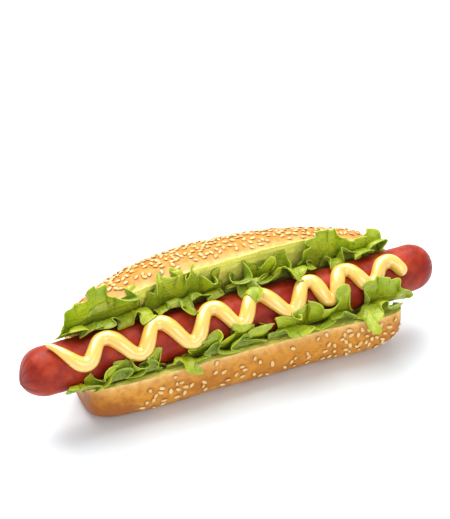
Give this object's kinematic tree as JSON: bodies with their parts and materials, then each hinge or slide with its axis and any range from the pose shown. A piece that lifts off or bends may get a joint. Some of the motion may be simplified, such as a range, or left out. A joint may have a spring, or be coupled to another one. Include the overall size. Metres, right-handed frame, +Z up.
{
  "type": "hot dog",
  "caption": "Hot dog: a sesame bun cut open along its front with a long sausage lying in it, a zigzag of mustard on the sausage and frilly lettuce leaves above and below it",
  "frame": {"origin": "on the surface that the bun lies on, under the middle of the whole", "axes": "+X along the sausage to its right end, +Y towards the bun's closed back, +Z up"},
  "size_m": [0.2304, 0.0831, 0.0711],
  "materials": {
    "crust": "golden brown baked crust with pale crumb and cream seeds, slightly glossy",
    "skin": "taut glossy red-brown sausage skin",
    "mustard": "smooth glossy pale yellow sauce",
    "lettuce": "thin fresh green leaf, slightly translucent, satin"
  },
  "bodies": {
    "root": {"bun": "crust", "sausage": "skin", "mustard": "mustard", "lettuce_upper_back_left": "lettuce", "lettuce_upper_back_middle": "lettuce", "lettuce_upper_back_right": "lettuce", "lettuce_upper_back_end": "lettuce", "lettuce_upper_front_left": "lettuce", "lettuce_upper_front_middle": "lettuce", "lettuce_upper_front_right": "lettuce", "lettuce_upper_front_end": "lettuce", "lettuce_lower_back_left": "lettuce", "lettuce_lower_back_middle": "lettuce", "lettuce_lower_back_right": "lettuce", "lettuce_lower_back_end": "lettuce", "lettuce_lower_front_left": "lettuce", "lettuce_lower_front_middle": "lettuce", "lettuce_lower_front_right": "lettuce", "lettuce_lower_front_end": "lettuce"}
  },
  "joints": []
}
